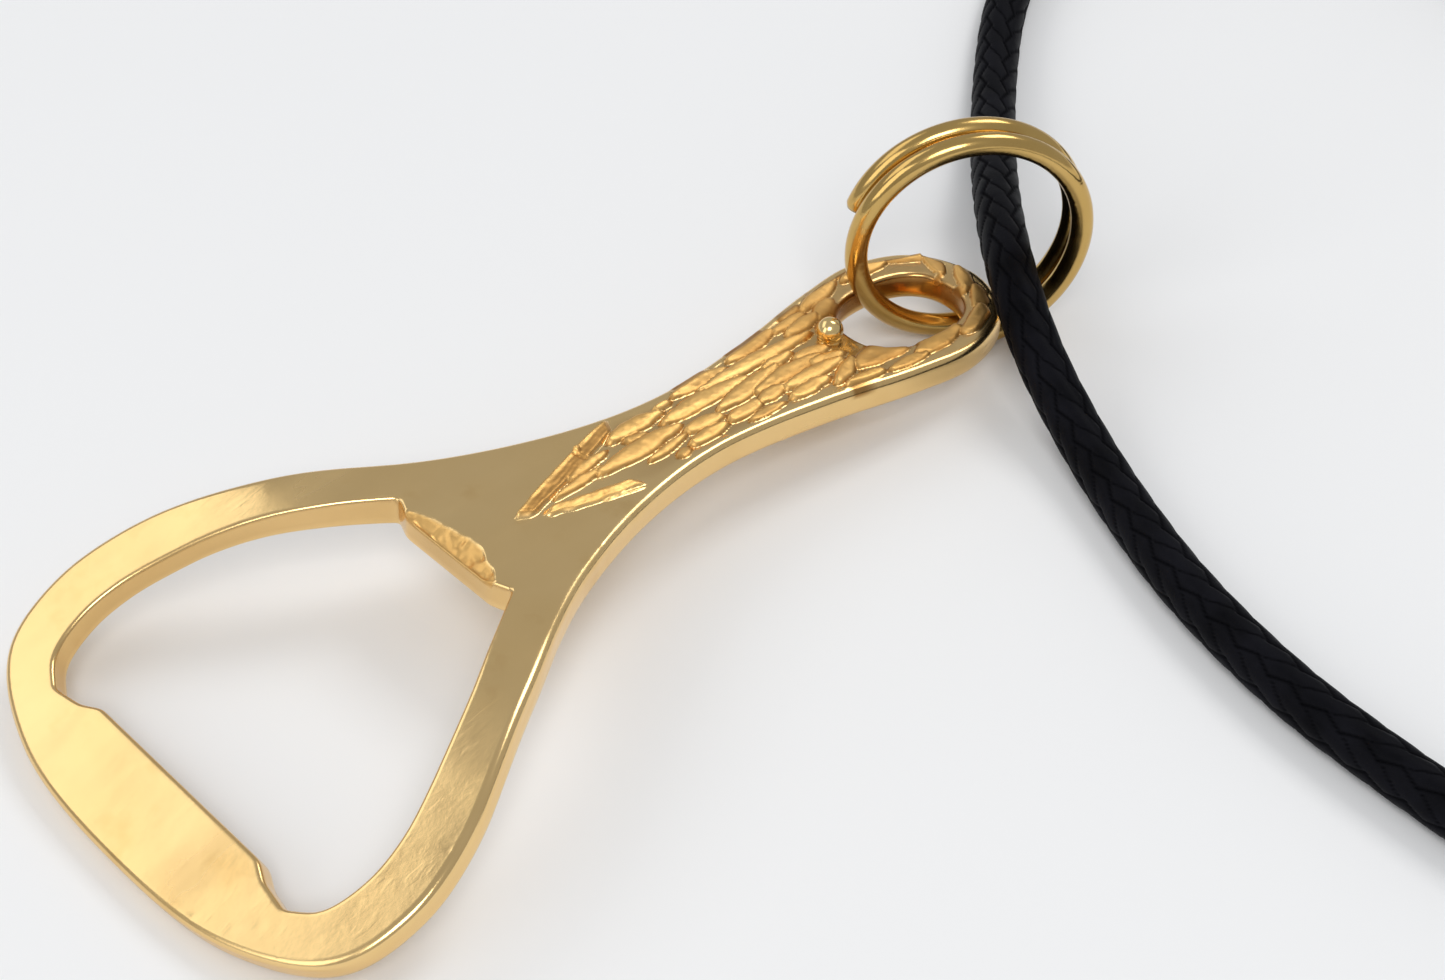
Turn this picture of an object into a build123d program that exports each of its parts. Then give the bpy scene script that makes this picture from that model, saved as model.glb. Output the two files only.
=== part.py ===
from build123d import *
from math import cos, degrees, pi, radians, sin, tan
import os

# Keychain bottle opener: a cast brass opener bent once across its width, a split ring
# through the slot in its handle, and a knotted cord loop through the ring.
# It lies as on a table: the mouth end and the ring touch z = 0 and the bend stands up.
# +X runs from the mouth to the ring, +Y across, +Z up. Millimetres and degrees.

# --- driving dimensions ------------------------------------------------------------
BEND = 25.8                # angle between the mouth plate and the handle
BEND_LENGTH = 13.0         # developed length of the bend, on the top face
BEND_START = -1.9          # developed place where the handle turns into the bend
HANDLE_TILT = 5.8          # the handle slopes down towards the ring
RIDGE_HEIGHT = 9.9         # top of the handle's plane above the table at the ridge
RIDGE_X = -13.0            # the ridge's place along the length
HANDLE_THICK = 2.5
MOUTH_THICK = 2.1
MOUTH_END = -33.75         # developed length from the ridge to the mouth's outer edge
HANDLE_END = 51.5          # from the ridge to the handle's tip
END_RADIUS = 7.1
LIP = -2.3                 # the tooth's lip
LIP_WIDTH = 9.4
LIP_BEVEL = 1.7
LIP_DROP = 0.8
LAND = -27.0               # the straight edge that presses on the cap
LAND_HALF = 9.3
SLOT_LENGTH = 11.0
SLOT_WIDTH = 8.4
SLOT_X = 43.0
EDGE_ROUND = 0.4
BEAD_RADIUS = 1.05
BEAD_X, BEAD_Y = 36.0, 0.9

WIRE = 1.8                 # the split ring's wire
RING_OUTER = 20.0
RING_TURNS = 612 / 360
RING_PITCH = 2.05
RING_YAW = 28.5            # the ring's axis is turned this far from +Y towards +X
RING_X, RING_Y = 36.12, -0.91
RING_START = -92           # where the wire starts, upwards from level at the ring's free side

CORD = 4.0                 # the cord's diameter
KNOT_LENGTH = 17.0
KNOT_WIDTH = 14.4
KNOT_HEIGHT = 9.2
KNOT_CORNER = 6.0
KNOT_ROUND = 3.4
KNOT_X, KNOT_Y = 112.8, -5.2
TAIL_LENGTH = 10.0

os.makedirs("parts", exist_ok=True)

bend_radius = BEND_LENGTH / radians(BEND)


def top_face(along):
    """Place and upward normal on the top face at a developed distance from the ridge."""
    turned = min(max(BEND_START - along, 0.0), BEND_LENGTH)
    straight = max(BEND_START - BEND_LENGTH - along, 0.0)
    angle = degrees(turned / bend_radius)
    x = max(along, BEND_START) - bend_radius * sin(radians(angle))
    z = -bend_radius * (1 - cos(radians(angle)))
    x -= straight * cos(radians(BEND))
    z -= straight * sin(radians(BEND))
    place = Vector(x, 0, z).rotate(Axis.Y, HANDLE_TILT) + Vector(RIDGE_X, 0, RIDGE_HEIGHT)
    normal = Vector(0, 0, 1).rotate(Axis.Y, HANDLE_TILT - angle)
    return place, normal


def side_point(along, depth=0.0):
    """A point of the side view, at a depth below the top face."""
    place, normal = top_face(along)
    point = place - normal * depth
    return (point.X, point.Z)


def plan(along, across):
    """A point of the plan view, from a developed distance and a half width."""
    return (top_face(along)[0].X, across)


bead_seat, bead_up = top_face(BEAD_X)
bead_centre = bead_seat + bead_up * (BEAD_RADIUS * 0.6) + Vector(0, BEAD_Y, 0)

# --- the opener --------------------------------------------------------------------
outline = [
    (MOUTH_END, 0), (-32.6, 11.9), (-28.6, 19.3), (-23.0, 21.0), (-16.9, 19.9),
    (-7.0, 14.7), (3.2, 8.5), (12.8, 5.0), (21.0, 3.9), (30.2, 4.9), (38.6, 6.6),
]
mouth_side = [
    (-1.6, 6.4), (-6.1, 9.4), (-10.4, 12.1), (-16.0, 14.8), (-20.0, 16.2),
    (-23.4, 16.5), (-26.6, 15.6), (-28.2, 13.5),
]

with BuildPart() as opener:
    # the bent plate, thinner towards the mouth
    with BuildSketch(Plane.XZ) as side_view:
        with BuildLine():
            spare = 3.0
            top_handle = Line(side_point(HANDLE_END + spare), side_point(BEND_START))
            top_bend = TangentArc(
                side_point(BEND_START), side_point(BEND_START - BEND_LENGTH),
                tangent=top_handle % 1)
            top_mouth = Line(top_bend @ 1, side_point(MOUTH_END - spare))
            outer = Line(top_mouth @ 1, side_point(MOUTH_END - spare, MOUTH_THICK))
            low_mouth = Line(
                outer @ 1, side_point(BEND_START - BEND_LENGTH, MOUTH_THICK))
            low_bend = ThreePointArc(
                low_mouth @ 1,
                side_point(BEND_START - BEND_LENGTH / 2, (MOUTH_THICK + HANDLE_THICK) / 2),
                side_point(BEND_START, HANDLE_THICK))
            low_handle = Line(low_bend @ 1, side_point(HANDLE_END + spare, HANDLE_THICK))
            Line(low_handle @ 1, top_handle @ 0)
        make_face()
    extrude(amount=30, both=True)

    # its outline, seen from above
    with BuildSketch() as outer_shape:
        with BuildLine() as edge_line:
            tip_x = plan(HANDLE_END, 0)[0]
            flank = Spline(
                [plan(*point) for point in outline] + [(tip_x - END_RADIUS, END_RADIUS)],
                tangents=[(0, 1), (1, 0)])
            end_round = CenterArc((tip_x - END_RADIUS, 0), END_RADIUS, 0, 90)
            mirror(about=Plane.XZ)
        make_face()
    extrude(amount=40, mode=Mode.INTERSECT)

    # the mouth, with its tooth and its straight land
    with BuildSketch() as mouth_shape:
        with BuildLine():
            lip = Line(plan(LIP, 0), plan(LIP, LIP_WIDTH / 2))
            root = Line(lip @ 1, plan(*mouth_side[0]))
            wall = Spline([plan(*point) for point in mouth_side])
            pocket = Line(wall @ 1, plan(LAND - 0.8, LAND_HALF + 1.6))
            step = Line(pocket @ 1, plan(LAND, LAND_HALF))
            Line(step @ 1, plan(LAND, 0))
            mirror(about=Plane.XZ)
        make_face()
    extrude(amount=40, mode=Mode.SUBTRACT)
    mouth_rims = opener.edges(Select.LAST).filter_by(
        lambda edge: edge.length > 14 and abs((edge % 0.5).Z) < 0.9 and abs(edge.center().Y) > 5)
    fillet(mouth_rims, EDGE_ROUND)

    # the bevel on top of the tooth
    with BuildSketch(Plane.XZ) as bevel_view:
        with BuildLine():
            Polyline(
                side_point(LIP + LIP_BEVEL), side_point(LIP, LIP_DROP),
                side_point(LIP - 0.6, LIP_DROP + 0.3), side_point(LIP - 0.6, -1),
                side_point(LIP + LIP_BEVEL, -1), side_point(LIP + LIP_BEVEL))
        make_face()
    extrude(amount=LIP_WIDTH / 2, both=True, mode=Mode.SUBTRACT)

    # the slot for the ring
    with BuildSketch(Plane(side_point(SLOT_X)[0:1] + (0, 30))) as slot_shape:
        SlotOverall(SLOT_LENGTH, SLOT_WIDTH)
    extrude(amount=-40, mode=Mode.SUBTRACT)
    slot_rims = opener.edges(Select.LAST).filter_by(
        lambda edge: abs((edge % 0.5).Z) < 0.9)
    fillet(slot_rims, EDGE_ROUND)

    # the seat the bead is brazed into
    with Locations(bead_centre):
        Sphere(BEAD_RADIUS, mode=Mode.SUBTRACT)
opener.part.label = "opener"
export_step(opener.part, "parts/opener.step")

# --- the bead set in the handle ------------------------------------------------------
with BuildPart() as bead:
    with Locations(bead_centre):
        Sphere(BEAD_RADIUS)
bead.part.label = "bead"
export_step(bead.part, "parts/bead.step")

# --- the split ring, one wire wound 1.7 turns ----------------------------------------
ring_axis = Vector(sin(radians(RING_YAW)), cos(radians(RING_YAW)), 0)
ring_out = Vector(cos(radians(RING_YAW)), -sin(radians(RING_YAW)), 0)
ring_centre = Vector(RING_X, RING_Y, RING_OUTER / 2)
ring_radius = (RING_OUTER - WIRE) / 2
ring_width = RING_PITCH * RING_TURNS
wire_start = ring_out * cos(radians(RING_START)) + Vector(0, 0, sin(radians(RING_START)))
ring_plane = Plane(ring_centre - ring_axis * (ring_width / 2), wire_start, ring_axis)
coil = ring_plane.from_local_coords(
    Edge.make_helix(RING_PITCH, ring_width, ring_radius, lefthand=True))
with BuildPart() as split_ring:
    with BuildLine() as wire_line:
        add(coil)
    with BuildSketch(Plane(coil @ 0, z_dir=coil % 0)) as wire_section:
        Circle(WIRE / 2)
    sweep(path=wire_line.line, is_frenet=True)
split_ring.part.label = "split_ring"
export_step(split_ring.part, "parts/split_ring.step")

# --- the cord, one length from the knot round through the ring and back ---------------
cord_route = [
    (112.5, -1.5, 3.6), (111.5, 10.0, 2.0), (104.5, 22.5, 2.0), (91.7, 31.0, 2.0),
    (80.2, 32.7, 2.0), (70.5, 26.8, 2.0), (62.5, 20.3, 2.0), (54.8, 13.4, 2.9),
    (45.0, 4.0, 6.4), (37.4, -4.6, 8.0), (33.9, -10.8, 5.4), (31.6, -17.4, 2.6),
    (28.4, -25.0, 2.0), (25.0, -34.0, 2.0), (22.6, -45.0, 2.0), (22.0, -54.9, 2.0),
    (21.9, -66.0, 2.0), (26.0, -76.0, 2.0), (36.0, -83.0, 2.0), (49.0, -82.5, 2.0),
    (62.0, -74.0, 2.0), (75.0, -62.0, 2.0), (88.0, -48.0, 2.0), (101.0, -33.5, 2.0),
    (110.0, -19.0, 2.0), (112.5, -9.0, 3.6),
]
corners = [Vector(point) for point in cord_route]
radii = []
for before, here, after in zip(corners, corners[1:], corners[2:]):
    run = min((here - before).length, (after - here).length)
    turn = radians((here - before).get_angle(after - here))
    radii.append(0.45 * run / tan(turn / 2))
print("cord radii", [round(radius, 1) for radius in radii])
with BuildPart() as cord:
    with BuildLine() as cord_line:
        cord_path = FilletPolyline(*cord_route, radius=radii)
    with BuildSketch(Plane(cord_path @ 0, z_dir=cord_path % 0)) as cord_section:
        Circle(CORD / 2)
    sweep(path=cord_path)
cord.part.label = "cord"
export_step(cord.part, "parts/cord.step")
print("cord length", round(cord_path.length, 1), "volume", round(cord.part.volume, 1),
      "section x length", round(pi * (CORD / 2) ** 2 * cord_path.length, 1))

# --- the knot that closes the loop, with its two short tails ----------------------------
knot_centre = Vector(KNOT_X, KNOT_Y, KNOT_HEIGHT / 2)
with BuildPart() as knot:
    with BuildSketch(Plane(Vector(KNOT_X, KNOT_Y, 0))):
        RectangleRounded(KNOT_WIDTH, KNOT_LENGTH, KNOT_CORNER)
    extrude(amount=KNOT_HEIGHT)
    fillet(knot.edges().group_by(Axis.Z)[0] + knot.edges().group_by(Axis.Z)[-1], KNOT_ROUND)
    for end in (1, -1):
        tail_start = knot_centre + Vector(2.0, end * 5.0, -1.6)
        with BuildSketch(Plane(tail_start, z_dir=(0.35, end, -0.09))):
            Circle(CORD / 2)
        extrude(amount=TAIL_LENGTH)
knot.part.label = "knot"
export_step(knot.part, "parts/knot.step")
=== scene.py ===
import math

import bpy
import numpy as np
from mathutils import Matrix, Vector, geometry


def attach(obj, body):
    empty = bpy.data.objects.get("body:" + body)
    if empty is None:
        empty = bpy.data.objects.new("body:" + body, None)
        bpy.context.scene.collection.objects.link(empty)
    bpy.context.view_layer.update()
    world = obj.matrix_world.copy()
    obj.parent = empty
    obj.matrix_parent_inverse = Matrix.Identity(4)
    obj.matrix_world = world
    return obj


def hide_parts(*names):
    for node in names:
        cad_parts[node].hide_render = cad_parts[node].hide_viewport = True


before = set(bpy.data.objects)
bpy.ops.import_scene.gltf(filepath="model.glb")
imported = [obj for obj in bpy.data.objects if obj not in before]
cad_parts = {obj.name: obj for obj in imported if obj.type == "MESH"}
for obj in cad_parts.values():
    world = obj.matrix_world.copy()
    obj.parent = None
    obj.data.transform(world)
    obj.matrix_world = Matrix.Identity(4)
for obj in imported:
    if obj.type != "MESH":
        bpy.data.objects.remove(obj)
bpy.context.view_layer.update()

# Keychain bottle opener: a cast brass opener, a split ring and a knotted braided cord.
# Sizes are millimetres and degrees, as in the solid model; MM turns them into metres.
# The opener is built on its developed top face: u runs from the bend's ridge to the
# handle's tip, v across, and depth goes down into the metal. fold() puts that in space.
MM = 0.001

# --- sizes shared with the solid model ---------------------------------------------------
BEND, BEND_LENGTH, BEND_START = 25.8, 13.0, -1.9
HANDLE_TILT, RIDGE_HEIGHT, RIDGE_X = 5.8, 9.9, -13.0
HANDLE_THICK, MOUTH_THICK = 2.5, 2.1
MOUTH_END, HANDLE_END = -33.75, 51.5
LIP, LIP_WIDTH, LIP_BEVEL, LIP_DROP = -2.3, 9.4, 1.7, 0.8
LAND, LAND_HALF = -27.0, 9.3
SLOT_X, SLOT_LENGTH, SLOT_WIDTH = 43.0, 11.0, 8.1
BEAD_RADIUS, BEAD_X, BEAD_Y = 1.05, 36.0, 0.9
WIRE, RING_OUTER, RING_TURNS, RING_PITCH = 1.8, 20.0, 612 / 360, 2.05
RING_YAW, RING_START = 28.5, -92.0
RING_X, RING_Y = 36.12, -0.91
CORD = 4.0
KNOT_X, KNOT_Y, KNOT_HEIGHT = 112.8, -5.2, 9.2

# nothing that rests on the floor cuts into it: how far it stays above, in metres
METAL_LIFT, CORD_LIFT = 0.00001, 0.00002


# --- small tools -------------------------------------------------------------------------
def value_noise(u, v, cell, seed):
    """Smooth noise from -1 to 1 whose bumps are about one cell wide."""
    table = np.random.RandomState(seed).uniform(-1, 1, (257, 257))
    x, y = np.asarray(u) / cell + 97.3, np.asarray(v) / cell + 71.9
    i, j = np.floor(x).astype(int), np.floor(y).astype(int)
    fx, fy = x - i, y - j
    fx, fy = fx * fx * (3 - 2 * fx), fy * fy * (3 - 2 * fy)
    a, b = table[i % 257, j % 257], table[(i + 1) % 257, j % 257]
    c, d = table[i % 257, (j + 1) % 257], table[(i + 1) % 257, (j + 1) % 257]
    return (a * (1 - fx) + b * fx) * (1 - fy) + (c * (1 - fx) + d * fx) * fy


def ramp(x, low, high):
    """0 below low, 1 above high, and smooth in between."""
    t = np.clip((x - low) / (high - low), 0, 1)
    return t * t * (3 - 2 * t)


def through(points, closed=False, steps=16):
    """A smooth curve through the points, each span cut into steps (centripetal)."""
    p = np.array(points, float)
    n = len(p)
    out = []
    for k in range(n if closed else n - 1):
        if closed:
            q = [p[(k + m) % n] for m in (-1, 0, 1, 2)]
        else:
            before = p[k - 1] if k > 0 else 2 * p[0] - p[1]
            after = p[k + 2] if k + 2 < n else 2 * p[-1] - p[-2]
            q = [before, p[k], p[k + 1], after]
        t = [0.0]
        for m in range(3):
            t.append(t[-1] + max(np.linalg.norm(q[m + 1] - q[m]), 1e-6) ** 0.5)
        for s in np.linspace(t[1], t[2], steps, endpoint=False):
            a = [(t[m + 1] - s) / (t[m + 1] - t[m]) * q[m]
                 + (s - t[m]) / (t[m + 1] - t[m]) * q[m + 1] for m in range(3)]
            b = [(t[m + 2] - s) / (t[m + 2] - t[m]) * a[m]
                 + (s - t[m]) / (t[m + 2] - t[m]) * a[m + 1] for m in range(2)]
            out.append((t[2] - s) / (t[2] - t[1]) * b[0]
                       + (s - t[1]) / (t[2] - t[1]) * b[1])
    if not closed:
        out.append(p[-1])
    return np.array(out)


def even(points, spacing, closed=False):
    """The same line with points at an even spacing."""
    p = np.vstack([points, points[:1]]) if closed else np.asarray(points)
    along = np.concatenate([[0], np.cumsum(np.linalg.norm(np.diff(p, axis=0), axis=1))])
    count = max(int(round(along[-1] / spacing)), 2)
    at = np.linspace(0, along[-1], count + 1)
    if closed:
        at = at[:-1]
    return np.stack([np.interp(at, along, p[:, k]) for k in range(p.shape[1])], 1)


def eased(loop, rounds):
    """A closed line with its corners rounded off."""
    for _ in range(rounds):
        loop = 0.5 * loop + 0.25 * (np.roll(loop, 1, 0) + np.roll(loop, -1, 0))
    return loop


def tube_faces(rings, around, flipped=False):
    """Quads between the rings of a tube, each ring being a round of points."""
    faces = []
    for ring in range(rings - 1):
        for a in range(around):
            here, there = ring * around + a, ring * around + (a + 1) % around
            if flipped:
                here, there = there, here
            faces.append((here, there, there + around, here + around))
    return faces


def make_piece(name, verts, faces, material, body, slot, replaces):
    """A smooth mesh from points in metres, riding on a body in place of the solid's nodes."""
    mesh = bpy.data.meshes.new(name)
    mesh.from_pydata([tuple(p) for p in verts], [], [tuple(f) for f in faces])
    mesh.validate()
    mesh.polygons.foreach_set("use_smooth", [True] * len(mesh.polygons))
    mesh.update()
    piece = bpy.data.objects.new(name, mesh)
    bpy.context.scene.collection.objects.link(piece)
    mesh.materials.append(material)
    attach(piece, body)
    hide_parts(*replaces)
    return piece


def paint(piece, name, values):
    """One value for each vertex, which the piece's material reads by name."""
    layer = piece.data.attributes.new(name, "FLOAT", "POINT")
    layer.data.foreach_set("value", np.asarray(values, float))


# --- materials ----------------------------------------------------------------------------
class Nodes:
    """A material being built: add() makes a node, and join() links two sockets."""

    def __init__(self, name):
        self.material = bpy.data.materials.new(name)
        self.material.use_nodes = True
        self.tree = self.material.node_tree
        self.shader = self.tree.nodes["Principled BSDF"]

    def add(self, kind, **values):
        node = self.tree.nodes.new(kind)
        for key, value in values.items():
            if key in node.inputs:
                node.inputs[key].default_value = value
            else:
                setattr(node, key, value)
        return node

    def join(self, source, target):
        self.tree.links.new(source, target)

    def noise(self, scale, detail, stretch=(1, 1, 1)):
        place = self.add("ShaderNodeTexCoord")
        turn = self.add("ShaderNodeMapping")
        turn.inputs["Scale"].default_value = stretch
        self.join(place.outputs["Object"], turn.inputs["Vector"])
        node = self.add("ShaderNodeTexNoise", Scale=scale, Detail=detail, Roughness=0.55)
        self.join(turn.outputs["Vector"], node.inputs["Vector"])
        return node.outputs["Fac"]

    def ramp(self, source, stops):
        node = self.add("ShaderNodeValToRGB")
        points = node.color_ramp.elements
        while len(points) < len(stops):
            points.new(0.5)
        for point, (at, colour) in zip(points, stops):
            point.position = at
            point.color = (*colour, 1) if len(colour) == 3 else (colour[0],) * 3 + (1,)
        self.join(source, node.inputs["Fac"])
        return node.outputs["Color"]

    def mix(self, how, factor, a, b):
        node = self.add("ShaderNodeMix", data_type="RGBA", blend_type=how)
        for socket, value in ((node.inputs[0], factor), (node.inputs[6], a), (node.inputs[7], b)):
            if isinstance(value, bpy.types.NodeSocket):
                self.join(value, socket)
            elif isinstance(value, tuple):
                socket.default_value = (*value, 1)
            else:
                socket.default_value = value
        return node.outputs[2]

    def math(self, how, a, b):
        node = self.add("ShaderNodeMath", operation=how)
        for socket, value in zip(node.inputs, (a, b)):
            if isinstance(value, bpy.types.NodeSocket):
                self.join(value, socket)
            else:
                socket.default_value = value
        return node.outputs[0]

    def bump(self, layers):
        """Bumps on top of each other: (height, distance in metres, strength)."""
        last = None
        for height, distance, strength in layers:
            node = self.add("ShaderNodeBump", Distance=distance, Strength=strength)
            self.join(height, node.inputs["Height"])
            if last is not None:
                self.join(last, node.inputs["Normal"])
            last = node.outputs["Normal"]
        self.join(last, self.shader.inputs["Normal"])


def brass(name, light, dark, rough_low, rough_high, carved_parts=False):
    """Worn brass; carved parts are darker in their hollows, with tarnish and painted shade, and
    duller on their leaves.
    """
    m = Nodes(name)
    m.shader.inputs["Metallic"].default_value = 1.0
    cloud = m.ramp(m.noise(55, 5), [(0.3, (0, 0, 0)), (0.7, (1, 1, 1))])
    colour = m.mix("MIX", cloud, light, dark)
    stain_and_shade = m.ramp(m.noise(210, 6), [(0.58, (1, 1, 1)), (0.78, (0.80, 0.70, 0.52))])
    colour = m.mix("MULTIPLY", 0.5, colour, stain_and_shade)
    rough = m.ramp(m.noise(90, 6), [(0.3, (rough_low,)), (0.75, (rough_high,))])
    rub = m.noise(260, 3, stretch=(0.12, 1.0, 1.0))
    rough = m.mix("ADD", 0.12, rough, m.ramp(rub, [(0.45, (0,)), (0.8, (1,))]))
    if carved_parts:
        tarnish_and_shade = m.add("ShaderNodeAttribute", attribute_name="painted_shade_and_tarnish").outputs["Fac"]
        carved = m.add("ShaderNodeAttribute", attribute_name="carved").outputs["Fac"]
        # painted shade and tarnish: the first mask darkens the colour, the second tints the carved
        # metal
        for mask, share, tint in ((tarnish_and_shade, 0.88, (0.42, 0.28, 0.15)),
                                  (carved, 0.75, (0.94, 0.78, 0.50))):
            colour = m.mix("MULTIPLY", m.math("MULTIPLY", mask, share), colour, tint)
        rough = m.mix("ADD", m.math("MULTIPLY", carved, 0.24), rough, (1.0, 1.0, 1.0))
    m.join(colour, m.shader.inputs["Base Color"])
    m.join(rough, m.shader.inputs["Roughness"])
    scratch = m.ramp(m.noise(900, 2, stretch=(0.05, 1.0, 1.0)), [(0.60, (0,)), (0.68, (1,))])
    m.bump([(m.noise(1500, 4), 0.00002, 0.38), (m.noise(160, 3), 0.00010, 0.16),
            (scratch, 0.00001, 0.25)])
    return m.material


def braid(name):
    """Black waxed cord, darker with painted shade and quite dull in the seams between its strands.
    """
    m = Nodes(name)
    colour = m.ramp(m.noise(300, 5),
                    [(0.3, (0.002, 0.002, 0.003)), (0.75, (0.007, 0.007, 0.010))])
    seam = m.add("ShaderNodeAttribute", attribute_name="seam").outputs["Fac"]
    # painted shade: the seams between strands are darker in the colour
    colour = m.mix("MIX", m.math("MULTIPLY", seam, 0.9), colour, (0.001, 0.001, 0.0015))
    m.join(colour, m.shader.inputs["Base Color"])
    rough = m.ramp(m.noise(600, 4), [(0.3, (0.42,)), (0.75, (0.60,))])
    rough = m.mix("MIX", seam, rough, (1.0, 1.0, 1.0))
    m.join(rough, m.shader.inputs["Roughness"])
    m.shader.inputs["Specular IOR Level"].default_value = 0.05
    m.bump([(m.noise(5200, 3), 0.00004, 0.5)])
    return m.material


cast_brass = brass("cast_brass_worn", (0.93, 0.66, 0.31), (0.86, 0.59, 0.25), 0.14, 0.27, True)
bead_brass = brass("bead_brass_polished", (0.94, 0.70, 0.32), (0.86, 0.61, 0.26), 0.08, 0.18)
ring_brass = brass("ring_brass_drawn", (0.74, 0.50, 0.18), (0.52, 0.33, 0.10), 0.10, 0.20)
cord_black = braid("cord_black_waxed")


# --- camera ---------------------------------------------------------------------------------
camera = bpy.data.objects.new("camera", bpy.data.cameras.new("camera"))
bpy.context.scene.collection.objects.link(camera)
camera.data.sensor_width = 36
camera.data.lens = 69.0
camera.location = (-0.09205, -0.11756, 0.14434)
camera.rotation_euler = [math.radians(a) for a in (46.936, 1.654, -42.625)]
camera.data.clip_start, camera.data.clip_end = 0.01, 10
bpy.context.scene.camera = camera


# --- the cord -------------------------------------------------------------------------------
# the same route as the solid's, in metres; its two ends stop where the knot takes over
cord_route = [
    (0.1109, 0.0036, 0.0030), (0.1113, 0.0100, 0.0020), (0.1043, 0.0225, 0.0020),
    (0.0915, 0.0310, 0.0020), (0.0800, 0.0327, 0.0020), (0.0703, 0.0268, 0.0020),
    (0.0623, 0.0203, 0.0020), (0.0546, 0.0134, 0.0029), (0.0448, 0.0040, 0.0064),
    (0.0372, -0.0046, 0.0080), (0.0337, -0.0108, 0.0054), (0.0314, -0.0174, 0.0026),
    (0.0282, -0.0250, 0.0020), (0.0248, -0.0340, 0.0020), (0.0224, -0.0450, 0.0020),
    (0.0218, -0.0549, 0.0020), (0.0217, -0.0660, 0.0020), (0.0258, -0.0760, 0.0020),
    (0.0358, -0.0830, 0.0020), (0.0488, -0.0825, 0.0020), (0.0618, -0.0740, 0.0020),
    (0.0748, -0.0620, 0.0020), (0.0878, -0.0480, 0.0020), (0.1008, -0.0335, 0.0020),
    (0.1098, -0.0190, 0.0020), (0.1109, -0.0140, 0.0030),
]


def spline_points(points):
    """Points along the open NURBS spline that has these control points."""
    curve = bpy.data.curves.new("route", "CURVE")
    curve.dimensions = "3D"
    curve.resolution_u = 24
    spline = curve.splines.new("NURBS")
    spline.points.add(len(points) - 1)
    for point, place in zip(spline.points, points):
        point.co = (*place, 1)
    spline.order_u = 3
    spline.use_endpoint_u = True
    holder = bpy.data.objects.new("route", curve)
    line = bpy.data.meshes.new_from_object(holder)
    places = np.array([v.co[:] for v in line.vertices])
    bpy.data.meshes.remove(line)
    bpy.data.objects.remove(holder)
    bpy.data.curves.remove(curve)
    return places


PLAIT_COLUMNS = 6          # plaits side by side round the cord
PLAIT = 3.3                # length of one plait along the cord
PLAIT_LEAN = 0.9           # a strand crosses its column in this share of a plait
PLAIT_SWAY = 0.17          # sideways swing of a column's edges, in column widths
COLUMN_GROOVE, STRAND_GROOVE, STRAND_TILT = 0.17, 0.09, 0.03
GROOVE_ROUND = 0.65        # how far a strand's edge curves down into a groove
AROUND = 72                # points round the cord
CORD_STEP = 0.215          # from one round of points to the next
CORD_END_ROUND = 1.3       # length over which a melted end rounds over


def triangle(x):
    """A triangle wave that is 1 at whole numbers and -1 halfway between them."""
    return 4 * np.abs(x - np.floor(x) - 0.5) - 1


def braid_height(along, angle):
    """Surface radius of the braid in mm, and how deep in a seam the place is, 0 to 1."""
    across = np.mod(angle / (2 * math.pi) * PLAIT_COLUMNS, PLAIT_COLUMNS)
    share = along / PLAIT
    # columns of strands lean left and right by turns, and meet in zigzag edges
    sway = [PLAIT_SWAY * triangle(share - peak) for peak in (0.5 * PLAIT_LEAN,
                                                             0.5 - 0.5 * PLAIT_LEAN)]
    edge = np.round(across)
    column = np.where(across - edge >= np.where(edge % 2 == 0, sway[0], sway[1]), edge, edge - 1)
    even_column = column % 2 == 0
    left = column + np.where(even_column, sway[0], sway[1])
    right = column + 1 + np.where(even_column, sway[1], sway[0])
    place = (across - left) / (right - left)
    strand = share + np.where(even_column, 1, -1) * PLAIT_LEAN * (place - 0.5)
    strand = strand + np.where(even_column, 0, 0.5)
    strand = strand - np.floor(strand)
    column_gap = np.minimum(place, 1 - place) * math.pi * CORD / PLAIT_COLUMNS
    strand_gap = np.minimum(strand, 1 - strand) * PLAIT * 0.57
    radius = CORD / 2 - 0.02 + STRAND_TILT * (strand - 0.5)
    for gap, groove in ((column_gap, COLUMN_GROOVE), (strand_gap, STRAND_GROOVE)):
        radius = radius - groove * (1 - np.sqrt(1 - np.clip(1 - gap / GROOVE_ROUND, 0, 1) ** 2))
    return radius, np.clip(1.15 - np.minimum(column_gap, 2.0 * strand_gap) / 0.17, 0, 1)


def rope(path, start_turn=0.0, sealed_end=False):
    """Vertices, faces and seam values of a braided cord that follows the path, in metres."""
    line = even(path, CORD_STEP * MM)
    line = np.vstack([line[:1], (line[:-2] + 2 * line[1:-1] + line[2:]) / 4, line[-1:]])
    count = len(line)
    tangent = np.gradient(line, axis=0)
    tangent /= np.linalg.norm(tangent, axis=1)[:, None]
    side = np.cross(tangent[0], (0, 0, 1))
    side /= np.linalg.norm(side)
    sides = []
    for t in tangent:
        side = side - t * np.dot(side, t)
        side = side / np.linalg.norm(side)
        sides.append(side)
    sides = np.array(sides)
    ups = np.cross(sides, tangent)
    along = np.arange(count)[:, None] * CORD_STEP
    angle = np.linspace(0, 2 * math.pi, AROUND, endpoint=False)[None, :]
    radius, seam = braid_height(along, angle + start_turn)
    if sealed_end:                                # the melted end rounds over
        away = np.arange(count)[::-1] * CORD_STEP
        share = np.sqrt(1 - np.clip(1 - away / CORD_END_ROUND, 0, 1) ** 2)
        radius = radius * share[:, None].clip(0.25)
    ring = (np.cos(angle)[..., None] * sides[:, None] + np.sin(angle)[..., None] * ups[:, None])
    verts = (line[:, None] + ring * radius[..., None] * MM).reshape(-1, 3)
    verts[:, 2] = np.maximum(verts[:, 2], CORD_LIFT)
    faces = tube_faces(count, AROUND)
    faces.append(tuple(reversed(range(AROUND))))
    faces.append(tuple(range((count - 1) * AROUND, count * AROUND)))
    return verts, faces, seam.reshape(-1), line


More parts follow.
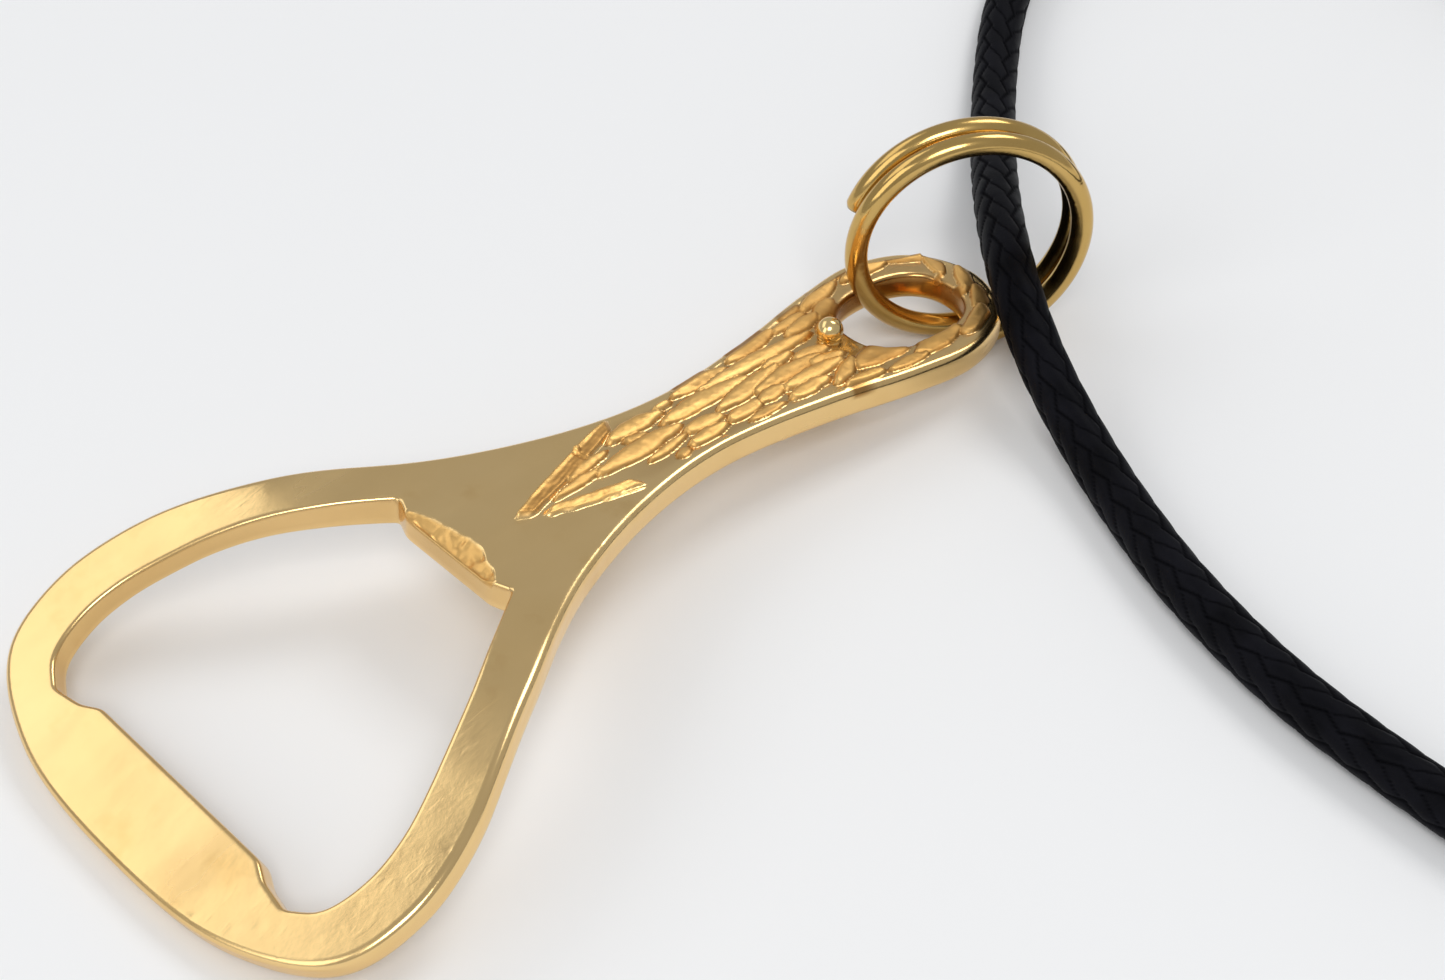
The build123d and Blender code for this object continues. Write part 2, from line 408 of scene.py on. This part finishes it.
verts, faces, seam, cord_line = rope(spline_points(cord_route))
cord = make_piece("cord_braid", verts, faces, cord_black, "ring_body", "cord_braid", ["cord"])
paint(cord, "seam", seam)

# the knot joins the cord's ends: two bights hooked into each other, tails side by side
bight = [
    (-1.9, 8.8, 3.0), (-1.9, 7.6, 4.6), (-1.9, 5.6, 6.9), (-2.0, 2.6, 4.9), (-3.5, 0.0, 2.2),
    (-5.5, -2.9, 4.4), (-4.4, -6.0, 6.8), (0.0, -7.4, 7.0), (4.4, -6.0, 6.8),
    (5.5, -2.9, 4.4), (3.5, 0.0, 2.2), (2.0, 2.6, 4.9), (2.0, 5.6, 6.9), (2.4, 8.6, 3.9),
    (3.6, 12.0, 2.2), (5.6, 15.0, 2.1),
]
knot_verts, knot_faces, knot_seam = [], [], []
for way in (1, -1):
    places = np.array(bight)
    if way < 0:            # the other bight, end for end: over where the first goes under
        places = places * (1, -1, 1)
        places[2:13, 2] = KNOT_HEIGHT - places[2:13, 2]
        places[1, 2] = 2.6
        places[13, 2] = 2.3
    places = (places + (KNOT_X, KNOT_Y, 0)) * MM
    verts, faces, seam, _ = rope(through(places), start_turn=0.4, sealed_end=True)
    offset = sum(len(v) for v in knot_verts)
    knot_verts.append(verts)
    knot_faces += [tuple(i + offset for i in f) for f in faces]
    knot_seam.append(seam)
knot = make_piece("knot_tied", np.vstack(knot_verts), knot_faces, cord_black, "ring_body",
                  "cord_braid", ["knot"])
paint(knot, "seam", np.concatenate(knot_seam))


# --- the split ring ---------------------------------------------------------------------------
RING_STATIONS, RING_AROUND = 300, 28
BURR, BURR_SHARE = 0.14, 0.3           # how far in the ends are rubbed, and how much


def split_ring():
    """Vertices and faces of the wire: a coil that leans on its lower side."""
    yaw = math.radians(RING_YAW)
    axis = np.array([math.sin(yaw), math.cos(yaw), 0])
    out = np.array([math.cos(yaw), -math.sin(yaw), 0])
    up = np.array([0, 0, 1.0])
    centre = np.array([RING_X, RING_Y, RING_OUTER / 2])
    width = RING_PITCH * RING_TURNS
    angle = np.radians(RING_START + np.linspace(0, 360 * RING_TURNS, RING_STATIONS))
    share = np.linspace(0, 1, RING_STATIONS)
    radius = (RING_OUTER - WIRE) / 2
    radial = np.cos(angle)[:, None] * out + np.sin(angle)[:, None] * up
    line = centre + axis * (width * (share - 0.5))[:, None] + radial * radius
    section = np.linspace(0, 2 * math.pi, RING_AROUND, endpoint=False)
    # the ends are cut square and the burr is rubbed off
    away = np.minimum(share, 1 - share) * radius * math.radians(360 * RING_TURNS)
    size = WIRE / 2 * np.sqrt(1 - np.clip(1 - away / BURR, 0, 1) ** 2 * BURR_SHARE)
    verts = (line[:, None]
             + np.cos(section)[None, :, None] * radial[:, None] * size[:, None, None]
             + np.sin(section)[None, :, None] * axis * size[:, None, None]).reshape(-1, 3) * MM
    faces = tube_faces(RING_STATIONS, RING_AROUND, flipped=True)
    faces.append(tuple(range(RING_AROUND)))
    faces.append(tuple(reversed(range(len(verts) - RING_AROUND, len(verts)))))
    verts[:, 2] = np.maximum(verts[:, 2], METAL_LIFT)
    return verts, faces


make_piece("split_ring_wire", *split_ring(), ring_brass, "ring_body", "ring_brass", ["split_ring"])


# --- the opener ---------------------------------------------------------------------------------
def fold(u, v, depth):
    """Places in metres, from developed places and a depth below the top face in mm."""
    radius = BEND_LENGTH / math.radians(BEND)
    angle = np.clip(BEND_START - u, 0, BEND_LENGTH) / radius
    straight = np.maximum(BEND_START - BEND_LENGTH - u, 0)
    full = math.radians(BEND)
    x = np.maximum(u, BEND_START) - radius * np.sin(angle) - straight * math.cos(full)
    z = -radius * (1 - np.cos(angle)) - straight * math.sin(full)
    x, z = x + np.sin(angle) * depth, z - np.cos(angle) * depth
    c, s = math.cos(math.radians(HANDLE_TILT)), math.sin(math.radians(HANDLE_TILT))
    return np.stack([x * c + z * s + RIDGE_X, v, z * c - x * s + RIDGE_HEIGHT], -1) * MM


def thickness(u):
    """The plate is thinner beyond the bend than along the handle."""
    share = ramp(u, BEND_START - BEND_LENGTH, BEND_START)
    return MOUTH_THICK + (HANDLE_THICK - MOUTH_THICK) * share


flank = [
    (-32.6, 11.9), (-28.6, 19.3), (-23.0, 21.0), (-16.9, 19.9), (-7.0, 14.7), (3.2, 8.5),
    (12.8, 5.0), (21.0, 3.9), (30.2, 4.9), (38.6, 6.6), (44.4, 7.1), (49.4, 5.0),
]
mouth_wall = [
    (-1.6, 6.4), (-6.1, 9.4), (-10.4, 12.1), (-16.0, 14.8), (-20.0, 16.2),
    (-23.4, 16.5), (-26.6, 15.6), (-28.2, 13.5),
]


def both_sides(half):
    """The closed loop of a half line that runs from one end of the centre line to the other."""
    half = np.array(half, float)
    return np.vstack([half, (half * (1, -1))[::-1]])


outer_all = through([(MOUTH_END, 0)] + flank + [(HANDLE_END, 0)]
                    + [(u, -v) for u, v in reversed(flank)], closed=True, steps=24)
outer_loop = eased(even(outer_all[::-1], 0.25, closed=True), 12)
mouth_half = np.vstack([
    [(LIP, 0.0), (LIP, LIP_WIDTH / 2)], through(mouth_wall),
    [(LAND - 0.8, LAND_HALF + 1.6), (LAND, LAND_HALF), (LAND, 0.0)]])
mouth_loop = eased(even(both_sides(mouth_half), 0.18, closed=True), 5)
slot_angle = np.linspace(0, 2 * math.pi, 400, endpoint=False)
slot_loop = np.stack([
    SLOT_X + SLOT_LENGTH / 2 * np.sign(np.cos(slot_angle)) * np.abs(np.cos(slot_angle)) ** 0.85,
    SLOT_WIDTH / 2 * np.sign(np.sin(slot_angle)) * np.abs(np.sin(slot_angle)) ** 0.85], 1)
slot_loop = even(slot_loop[::-1], 0.2, closed=True)


def area(loop):
    """Area inside the loop, above 0 if it runs anticlockwise."""
    nxt = np.roll(loop, -1, 0)
    return 0.5 * np.sum(loop[:, 0] * nxt[:, 1] - nxt[:, 0] * loop[:, 1])


# the metal is on the left of each loop, so the outline runs one way and the holes the other
loops = [outer_loop if area(outer_loop) > 0 else outer_loop[::-1],
         mouth_loop if area(mouth_loop) < 0 else mouth_loop[::-1],
         slot_loop if area(slot_loop) < 0 else slot_loop[::-1]]
# outline, mouth and slot: radius of the rim, and how much the wall is darkened, which in the slot
# is painted shade
edge_rounds = [0.55, 0.32, 0.45]
wall_darkening = [0.0, 0.25, 1.00]
RIM_STRIP = 0.14           # width of the even strip of faces inside each rim
FINE_GRID, PLAIN_GRID = 0.12, 0.42


def inset(loop, distance):
    """The loop moved into the metal by a distance, or by one for each point."""
    run = np.roll(loop, -1, 0) - np.roll(loop, 1, 0)
    run /= np.linalg.norm(run, axis=1)[:, None]
    return loop + np.stack([-run[:, 1], run[:, 0]], 1) * np.reshape(distance, (-1, 1))


def inside(u, v, loop):
    """Which of the places are inside the loop."""
    odd = np.zeros(u.shape, bool)
    for a, b in zip(loop, np.roll(loop, -1, 0)):
        if a[1] != b[1]:
            hit = (a[1] > v) != (b[1] > v)
            odd ^= hit & (u < (b[0] - a[0]) * (v - a[1]) / (b[1] - a[1]) + a[0])
    return odd


def in_metal(places, rims):
    """Which of the places are inside the outline and outside the mouth and the slot."""
    keep = inside(places[:, 0], places[:, 1], rims[0])
    for rim in rims[1:]:
        keep &= ~inside(places[:, 0], places[:, 1], rim)
    return keep


# raised leaves on the handle: start, end, half width and how far the middle bows across
leaves = [
    (6.4, -0.95, 12.4, -0.35, 0.30, 0.1), (8.6, -0.1, 13.6, 1.0, 0.34, 0.15),
    (10.6, -0.9, 20.0, -0.1, 0.58, 0.15), (14.6, 0.9, 17.4, 0.5, 0.34, 0.1),
    (13.6, 1.6, 19.9, 1.9, 0.52, 0.25), (14.6, -2.0, 19.6, -1.1, 0.30, 0.0),
    (18.2, 0.8, 28.0, 0.9, 0.62, 0.35), (18.8, 2.5, 21.2, 2.4, 0.26, 0.0),
    (20.9, 2.8, 27.4, 3.0, 0.48, 0.1), (22.8, 1.9, 35.6, 2.1, 0.52, 0.2),
    (27.2, 3.4, 33.6, 4.4, 0.55, 0.1), (22.6, -0.6, 30.8, 0.9, 0.56, -0.1),
    (18.9, -1.0, 23.2, -1.3, 0.50, 0.1), (26.2, -0.8, 34.4, -0.4, 0.56, 0.3),
    (28.4, 0.9, 32.6, 1.2, 0.36, 0.05), (16.6, -2.9, 18.6, -2.5, 0.34, 0.0),
    (18.2, -2.4, 22.8, -2.1, 0.44, 0.0), (22.4, -2.1, 26.6, -1.8, 0.50, 0.1),
    (25.6, -1.8, 29.4, -1.5, 0.44, 0.1), (28.3, -1.9, 35.2, -1.8, 0.52, 0.1),
    (23.6, -3.0, 27.9, -3.0, 0.30, 0.0), (27.8, -3.0, 32.7, -2.9, 0.46, 0.1),
    (31.4, 0.5, 35.4, 0.0, 0.46, 0.1), (32.0, -0.6, 35.8, -1.4, 0.40, 0.0),
    (31.8, -3.9, 35.8, -1.9, 0.46, -0.2), (34.6, -3.2, 40.2, -3.9, 0.78, 0.6),
    (32.2, -4.5, 36.6, -5.0, 0.40, 0.1), (36.2, -5.2, 41.0, -5.4, 0.42, 0.0),
    (39.2, -5.2, 45.4, -4.6, 0.62, 0.1), (44.2, -5.4, 48.8, -3.4, 0.60, -0.5),
    (47.2, -4.2, 50.2, -1.0, 0.48, -0.4), (48.6, -1.8, 50.7, 1.6, 0.46, -0.3),
    (48.8, 1.0, 49.8, 4.4, 0.48, -0.3), (46.2, 5.9, 49.8, 3.6, 0.46, 0.3),
    (41.6, 5.5, 47.2, 5.3, 0.50, 0.3), (40.8, 6.2, 46.0, 6.3, 0.36, 0.2),
    (36.4, 4.7, 41.8, 5.9, 0.52, 0.1), (34.2, 4.9, 37.2, 5.5, 0.34, 0.0),
    (33.2, 3.0, 37.8, 3.5, 0.46, 0.1), (32.6, 3.9, 37.0, 4.3, 0.36, 0.1),
    (36.6, 3.0, 40.0, 4.4, 0.50, 0.2), (38.4, 5.6, 42.4, 6.4, 0.36, 0.1),
    (35.4, 1.6, 38.0, 2.6, 0.40, 0.1),
]
# the bars of the pointed frame: start, end, half width, where the ridge runs (outwards from the
# bar's middle), the slopes inside and outside it, how lens-shaped and how ragged the outline
# is, and how much painted shade darkens the inner side
bars = [(3.3, -1.15, 16.2, 3.45, 0.76, 0.26, 0.13, 0.36, 0.2, 0.05, 0.62),
        (4.9, -1.6, 13.6, -3.50, 0.62, -0.26, 0.80, -0.30, 0.42, 0.12, 0.0),
        (9.4, -3.20, 13.2, -3.95, 0.17, 0.0, 0.50, -0.50, 0.2, 0.03, 0.0)]


def lens_height(u, v, leaf, seed):
    """0 to 1 over a leaf-shaped ridge with a ragged outline."""
    u0, v0, u1, v1, half, bow = leaf
    run = np.array([u1 - u0, v1 - v0])
    length = np.linalg.norm(run)
    run /= length
    t = ((u - u0) * run[0] + (v - v0) * run[1]) / length
    off = (v - v0) * run[0] - (u - u0) * run[1] - bow * 4 * t * (1 - t)
    off = off + 0.09 * value_noise(t * length, off, 0.9, seed)
    width = 1.52 * half * np.sin(math.pi * np.clip(t, 0.001, 0.999)) ** 0.68
    across = off / np.maximum(width, 0.02)
    body = np.clip(1 - np.abs(across) ** 3.2, 0, 1) ** 0.62
    ends = ramp(np.minimum(t, 1 - t) * length, -0.05, 0.7)
    return np.where((t > 0) & (t < 1), body * ends * (0.92 + 0.30 * across), 0)


GROUND, CREASE = -0.10, 0.07           # depth of the field and of the lines between leaves
LEAF_HEIGHT, LEAF_SPREAD = 0.36, 0.09
BAR_HEIGHT, BAR_SLANT = 0.42, 0.9      # the bars' ends are cut on a slant
BREAK_U, BREAK_V, BREAK_DEPTH = 11.1, 1.9, 0.22
PIP_U, PIP_V, PIP_RADIUS, PIP_HEIGHT = 11.4, 2.15, 0.32, 0.28
NICKS = 46


def relief(u, v):
    """Height above the plain face in mm, and how dark (tarnish and painted shade) and how dull the
    metal is, 0 to 1.
    """
    # the field that the leaves stand in, bounded by the handle's smooth borders
    top = np.interp(u, [3, 16, 20, 24, 28, 34, 42, 47, 52],
                    [-1, 3.4, 2.9, 3.6, 4.4, 5.7, 6.9, 6.6, 3])
    low = np.interp(u, [3, 14, 17, 24, 31, 34, 38, 45, 52],
                    [-1, -3.6, -3.2, -3.5, -3.6, -5.0, -5.9, -5.9, -3])
    field = ramp(np.minimum(top - v, v - low), -0.4, 0.9) * ramp(u, 9.5, 19.0)
    field *= 1 - ramp(u, 49.5, 51.0)
    # nothing is carved on the rounded rim itself
    flank_u, flank_v = np.array([(MOUTH_END, 0)] + flank + [(HANDLE_END, 0)]).T
    off_rim = ramp(np.interp(u, flank_u, flank_v) - np.abs(v), 0.50, 0.95)
    field *= off_rim
    # each leaf overlaps the ones before it, and a dark crease marks where two meet
    ridges, behind = np.zeros(u.shape), np.zeros(u.shape)
    for k, leaf in enumerate(leaves):
        one = lens_height(u, v, leaf, 100 + k)
        one = one * (LEAF_HEIGHT + LEAF_SPREAD * math.sin(3.7 * k))
        behind = np.maximum(behind, np.minimum(one, ridges))
        ridges = np.maximum(ridges, one)
    ridges *= off_rim
    behind *= off_rim
    crease = np.clip(1 - (ridges - behind) / CREASE, 0, 1) * ramp(behind, 0.02, 0.12)
    grain = 0.022 * value_noise(u, v, 0.6, 5) + 0.012 * value_noise(u, v, 0.25, 6)
    height = GROUND * field + ridges - CREASE * crease
    height = height + grain * np.maximum(field, ramp(ridges, 0, 0.1))
    bar_mask, facet = np.zeros(u.shape), np.zeros(u.shape)
    for u0, v0, u1, v1, half, ridge, inner, outer, lens, ragged, dark in bars:
        run = np.array([u1 - u0, v1 - v0])
        length = np.linalg.norm(run)
        run /= length
        t = (u - u0) * run[0] + (v - v0) * run[1]
        off = (v - v0) * run[0] - (u - u0) * run[1]
        out = off * math.copysign(1, v1) + ragged * value_noise(t, 0 * t, 0.9, 9)
        width = half * np.sin(math.pi * np.clip((t + 0.4) / (length + 0.8), 0.01, 0.99)) ** lens
        slant = BAR_SLANT * (out - half)
        over = ramp(width - np.abs(out), -0.03, 0.20) * ramp(t + slant, -0.5, 0.3)
        over *= ramp(length - t + slant, -0.1, 0.8) * off_rim
        lines = 0.020 * value_noise(0.12 * t, out, 0.13, 10)
        crown = BAR_HEIGHT * min(half / 0.45, 1)
        crown = crown + np.where(out > ridge, outer, inner) * (out - ridge)
        height = height + over * np.maximum(crown + lines + grain - height, 0)
        bar_mask = np.maximum(bar_mask, over)
        # painted shade: the bar's inner side, sloped away from the light, is darkened in the
        # colour mask
        facet = np.maximum(facet, dark * over * ramp(ridge - out, -0.04, 0.08))
    # the upper bar is broken once, with a pip standing in the break
    across = (u - BREAK_U) + 0.35 * (v - BREAK_V)
    height -= BREAK_DEPTH * bar_mask * np.exp(-(across / 0.14) ** 2) * (v > 0)
    pip = np.hypot(u - PIP_U, v - PIP_V)
    height += PIP_HEIGHT * np.sqrt(np.clip(1 - (pip / PIP_RADIUS) ** 2, 0, 1))
    # the tooth's hammered bevel
    taper = np.cos(math.pi * np.clip(v / (LIP_WIDTH + 1.0), -0.5, 0.5)) ** 0.8
    bevel = LIP_BEVEL * (0.12 + taper * (1.05 + 0.22 * value_noise(v, 0 * v, 1.3, 23)))
    slope = ramp(LIP + bevel - u, 0, 0.25) * np.clip((LIP + bevel - u) / bevel, 0, 1.1)
    hammer = 0.14 * np.abs(value_noise(u, v, 0.8, 21)) + 0.07 * value_noise(u, v, 0.4, 22)
    on_tooth = ramp(LIP_WIDTH / 2 + 0.7 - np.abs(v), 0, 0.6) * (u > -8)
    height -= on_tooth * (slope * LIP_DROP * bevel / LIP_BEVEL + hammer * ramp(slope, 0, 0.2))
    # tarnish in the ground and the creases; painted shade on the foot of each leaf and on the
    # bars' inner sides
    tarnish_and_shade = np.clip(np.clip((0.02 - height) / 0.14, 0, 0.36) * field + 0.7 * crease, 0, 1)
    # painted shade: the foot of each leaf is darkened to damp a bright reflection there
    flanks = np.clip(ridges / 0.01, 0, 1) * np.clip(1.3 - ridges / 0.22, 0, 1) * (1 - bar_mask)
    tarnish_and_shade = np.maximum(tarnish_and_shade, np.maximum(facet, 0.9 * flanks))
    carved = np.maximum(bar_mask, ramp(ridges, 0.0, 0.05))
    carved = np.maximum(carved, on_tooth * ramp(slope, 0, 0.2))
    # hand finishing: soft waves and a few nicks over the whole face
    height += 0.020 * value_noise(u, v, 5.0, 31) + 0.004 * value_noise(u, v, 1.4, 32)
    spots = np.random.RandomState(8)
    for _ in range(NICKS):
        a, b = spots.uniform(-33, 30), spots.uniform(-20, 20)
        wide, deep = spots.uniform(0.12, 0.3), spots.uniform(0.02, 0.05)
        height -= deep * np.exp(-((u - a) ** 2 + (v - b) ** 2) / wide ** 2)
    return height, tarnish_and_shade, carved


def opener_mesh():
    """Vertices, faces and the two masks of the casting."""
    # points on the flat face: the edges of its rounded rims, an even strip inside them,
    # then a triangular grid
    rims = [inset(loop, radius) for loop, radius in zip(loops, edge_rounds)]
    strips_in = [inset(loop, radius + RIM_STRIP) for loop, radius in zip(loops, edge_rounds)]
    parts = []
    for spacing in (PLAIN_GRID, FINE_GRID):
        rows = np.arange(-21.5, 21.5, spacing * 0.866)
        cols = np.arange(-34.0, 52.0, spacing)
        grid_u, grid_v = np.meshgrid(cols, rows)
        grid_u = grid_u + (np.arange(len(rows)) % 2)[:, None] * spacing / 2
        grid = np.stack([grid_u.ravel(), grid_v.ravel(), np.full(grid_u.size, spacing)], 1)
        tooth = (np.abs(grid[:, 0] + 1.6) < 2.4) & (np.abs(grid[:, 1]) < LIP_WIDTH / 2 + 1.2)
        carved_zone = (grid[:, 0] > 2.6) | tooth
        parts.append(grid[carved_zone if spacing == FINE_GRID else ~carved_zone])
    spots = np.vstack(parts)
    spots = spots[in_metal(spots, strips_in)]
    border = np.vstack(rims + strips_in)
    nearest = np.full(len(spots), 9.0)
    for place in np.array_split(border, max(len(border) // 40, 1)):
        apart = spots[:, None, :2] - place[None]
        nearest = np.minimum(nearest, np.hypot(apart[..., 0], apart[..., 1]).min(1))
    spots = spots[nearest > 0.6 * np.minimum(spots[:, 2], 0.25), :2]

    flat = np.vstack([border, spots])
    edges, first = [], 0
    for rim in rims + strips_in:
        n = len(rim)
        edges += [(first + k, first + (k + 1) % n) for k in range(n)]
        first += n
    places, _, triangles, source, _, _ = geometry.delaunay_2d_cdt(
        [Vector(p) for p in flat], edges, [], 0, 1e-6)
    assert len(places) == len(flat)
    order = np.array([s[0] for s in source])
    flat_of = np.array([p[:] for p in places])
    tri = np.array(triangles)
    middle = flat_of[tri].mean(1)
    tri = order[tri[in_metal(middle, rims)]]

    # the top and the underside, then the walls that join them round each loop
    count = len(flat)
    rise, tarnish_and_shade, carved = relief(flat[:, 0], flat[:, 1])
    under = 0.02 * value_noise(flat[:, 0], flat[:, 1], 4.0, 41)
    rows_uv = [flat, flat]
    depths = [-rise, thickness(flat[:, 0]) + under]
    painted_shade_and_tarnish = [tarnish_and_shade, np.zeros(count)]
    casting = [carved, np.zeros(count)]
    faces = [tuple(t) for t in tri] + [tuple(t[::-1] + count) for t in tri]

    total, first = 2 * count, 0
    for loop, rim, radius, stain_and_shade in zip(loops, rims, edge_rounds, wall_darkening):
        n = len(loop)
        strips = [np.arange(first, first + n)]
        steps = [67.5, 45.0, 22.5, 0.0]
        levels = [("top", a) for a in steps] + [("wall", s) for s in (0.25, 0.5, 0.75)]
        levels += [("low", a) for a in reversed(steps)]
        for kind, value in levels:
            if kind == "wall":
                rough = value_noise(loop[:, 0], loop[:, 1] + 9 * value, 3.0, 51)
                place = inset(loop, 0.03 * rough)
                depth = radius + (thickness(place[:, 0]) - 2 * radius) * value
                # the wall's darkening goes into the colour mask: painted shade in the slot
                dark, rugged = np.full(n, stain_and_shade), np.zeros(n)
            else:
                angle = math.radians(value)
                place = inset(loop, radius * (1 - math.cos(angle)))
                edge_depth = radius * (1 - math.sin(angle))
                if kind == "top":
                    high, dark, rugged = relief(rim[:, 0], rim[:, 1])
                    depth = edge_depth - high * math.sin(angle)
                    # the rounded rim takes part of the wall's darkening too, painted shade at the
                    # slot
                    dark = np.maximum(dark, stain_and_shade * math.cos(angle))
                else:
                    depth = thickness(place[:, 0]) - edge_depth
                    dark = rugged = np.zeros(n)
            rows_uv.append(place)
            depths.append(depth)
            painted_shade_and_tarnish.append(dark)
            casting.append(rugged)
            strips.append(np.arange(total, total + n))
            total += n
        strips.append(np.arange(first, first + n) + count)
        for upper, lower in zip(strips, strips[1:]):
            for k in range(n):
                m = (k + 1) % n
                faces.append((upper[m], upper[k], lower[k], lower[m]))
        first += n
    uv = np.vstack(rows_uv)
    verts = fold(uv[:, 0], uv[:, 1], np.concatenate(depths))
    verts[:, 2] = np.maximum(verts[:, 2], METAL_LIFT)
    return verts, faces, {"painted_shade_and_tarnish": np.concatenate(painted_shade_and_tarnish), "carved": np.concatenate(casting)}


verts, faces, masks = opener_mesh()
opener = make_piece("opener_casting", verts, faces, cast_brass, "opener_body", "cast_brass",
                    ["opener"])
for mask, values in masks.items():
    paint(opener, mask, values)


# --- the bead, with the fillet of metal that holds it ------------------------------------------
def bead():
    """Vertices and faces of the bead: one turned profile, closed at both ends."""
    seat, above = fold(np.full(2, BEAD_X), np.full(2, BEAD_Y), np.array([0.0, -1.0]))
    up = (above - seat) / np.linalg.norm(above - seat)
    out = np.cross(up, (0, 1, 0))
    out /= np.linalg.norm(out)
    across = np.cross(up, out)
    profile = [(1.30, -0.50), (1.12, -0.30), (0.96, -0.08), (0.90, 0.12)]
    for angle in np.radians(np.arange(-26, 86, 7)):
        profile.append((BEAD_RADIUS * math.cos(angle),
                        BEAD_RADIUS * (0.6 + math.sin(angle))))
    around = 48
    turn = np.linspace(0, 2 * math.pi, around, endpoint=False)
    rings = []
    for radius, height in profile:
        wobble = radius * (1 + 0.02 * np.sin(3 * turn + 1.0) + 0.012 * np.sin(5 * turn))
        rings.append(seat + (np.cos(turn)[:, None] * out + np.sin(turn)[:, None] * across)
                     * wobble[:, None] * MM + up * height * MM)
    verts = np.vstack(rings + [seat + up * BEAD_RADIUS * 1.6 * MM, seat - up * 0.4 * MM])
    faces = tube_faces(len(profile), around, flipped=True)
    last = (len(profile) - 1) * around
    for a in range(around):
        b = (a + 1) % around
        faces.append((last + b, last + a, len(verts) - 2))
        faces.append((a, b, len(verts) - 1))
    return verts, faces


make_piece("bead_ball", *bead(), bead_brass, "opener_body", "bead_brass", ["bead"])


# --- floor and light -----------------------------------------------------------------------------
floor_pale = Nodes("floor_pale")
floor_pale.shader.inputs["Base Color"].default_value = (0.90, 0.90, 0.90, 1)
floor_pale.shader.inputs["Roughness"].default_value = 0.7
mesh = bpy.data.meshes.new("floor")
mesh.from_pydata([(-3, -3, 0), (3, -3, 0), (3, 3, 0), (-3, 3, 0)], [], [(0, 1, 2, 3)])
mesh.materials.append(floor_pale.material)
floor = bpy.data.objects.new("floor", mesh)
bpy.context.scene.collection.objects.link(floor)

world = bpy.data.worlds.new("studio")
bpy.context.scene.world = world
world.use_nodes = True
sky = world.node_tree.nodes["Background"]
sky.inputs["Color"].default_value = (0.95, 0.97, 1.0, 1)
sky.inputs["Strength"].default_value = 0.45


def softbox(name, place, size, power):
    """A rectangular light that faces the origin."""
    light = bpy.data.lights.new(name, "AREA")
    light.shape = "RECTANGLE"
    light.size, light.size_y = size
    light.energy = power
    lamp = bpy.data.objects.new(name, light)
    lamp.location = place
    lamp.rotation_euler = (-Vector(place)).to_track_quat("-Z", "Y").to_euler()
    bpy.context.scene.collection.objects.link(lamp)


softbox("overhead", (-0.25, 0.69, 0.64), (0.80, 0.42), 1.08)
softbox("end_side", (0.62, 0.02, 0.82), (0.40, 0.40), 2.2)
softbox("left", (-0.75, 0.05, 0.45), (0.5, 0.6), 1.3)
softbox("camera_side", (-0.50, -0.70, 1.00), (0.5, 0.5), 5.5)
bpy.context.scene.view_settings.view_transform = "Standard"
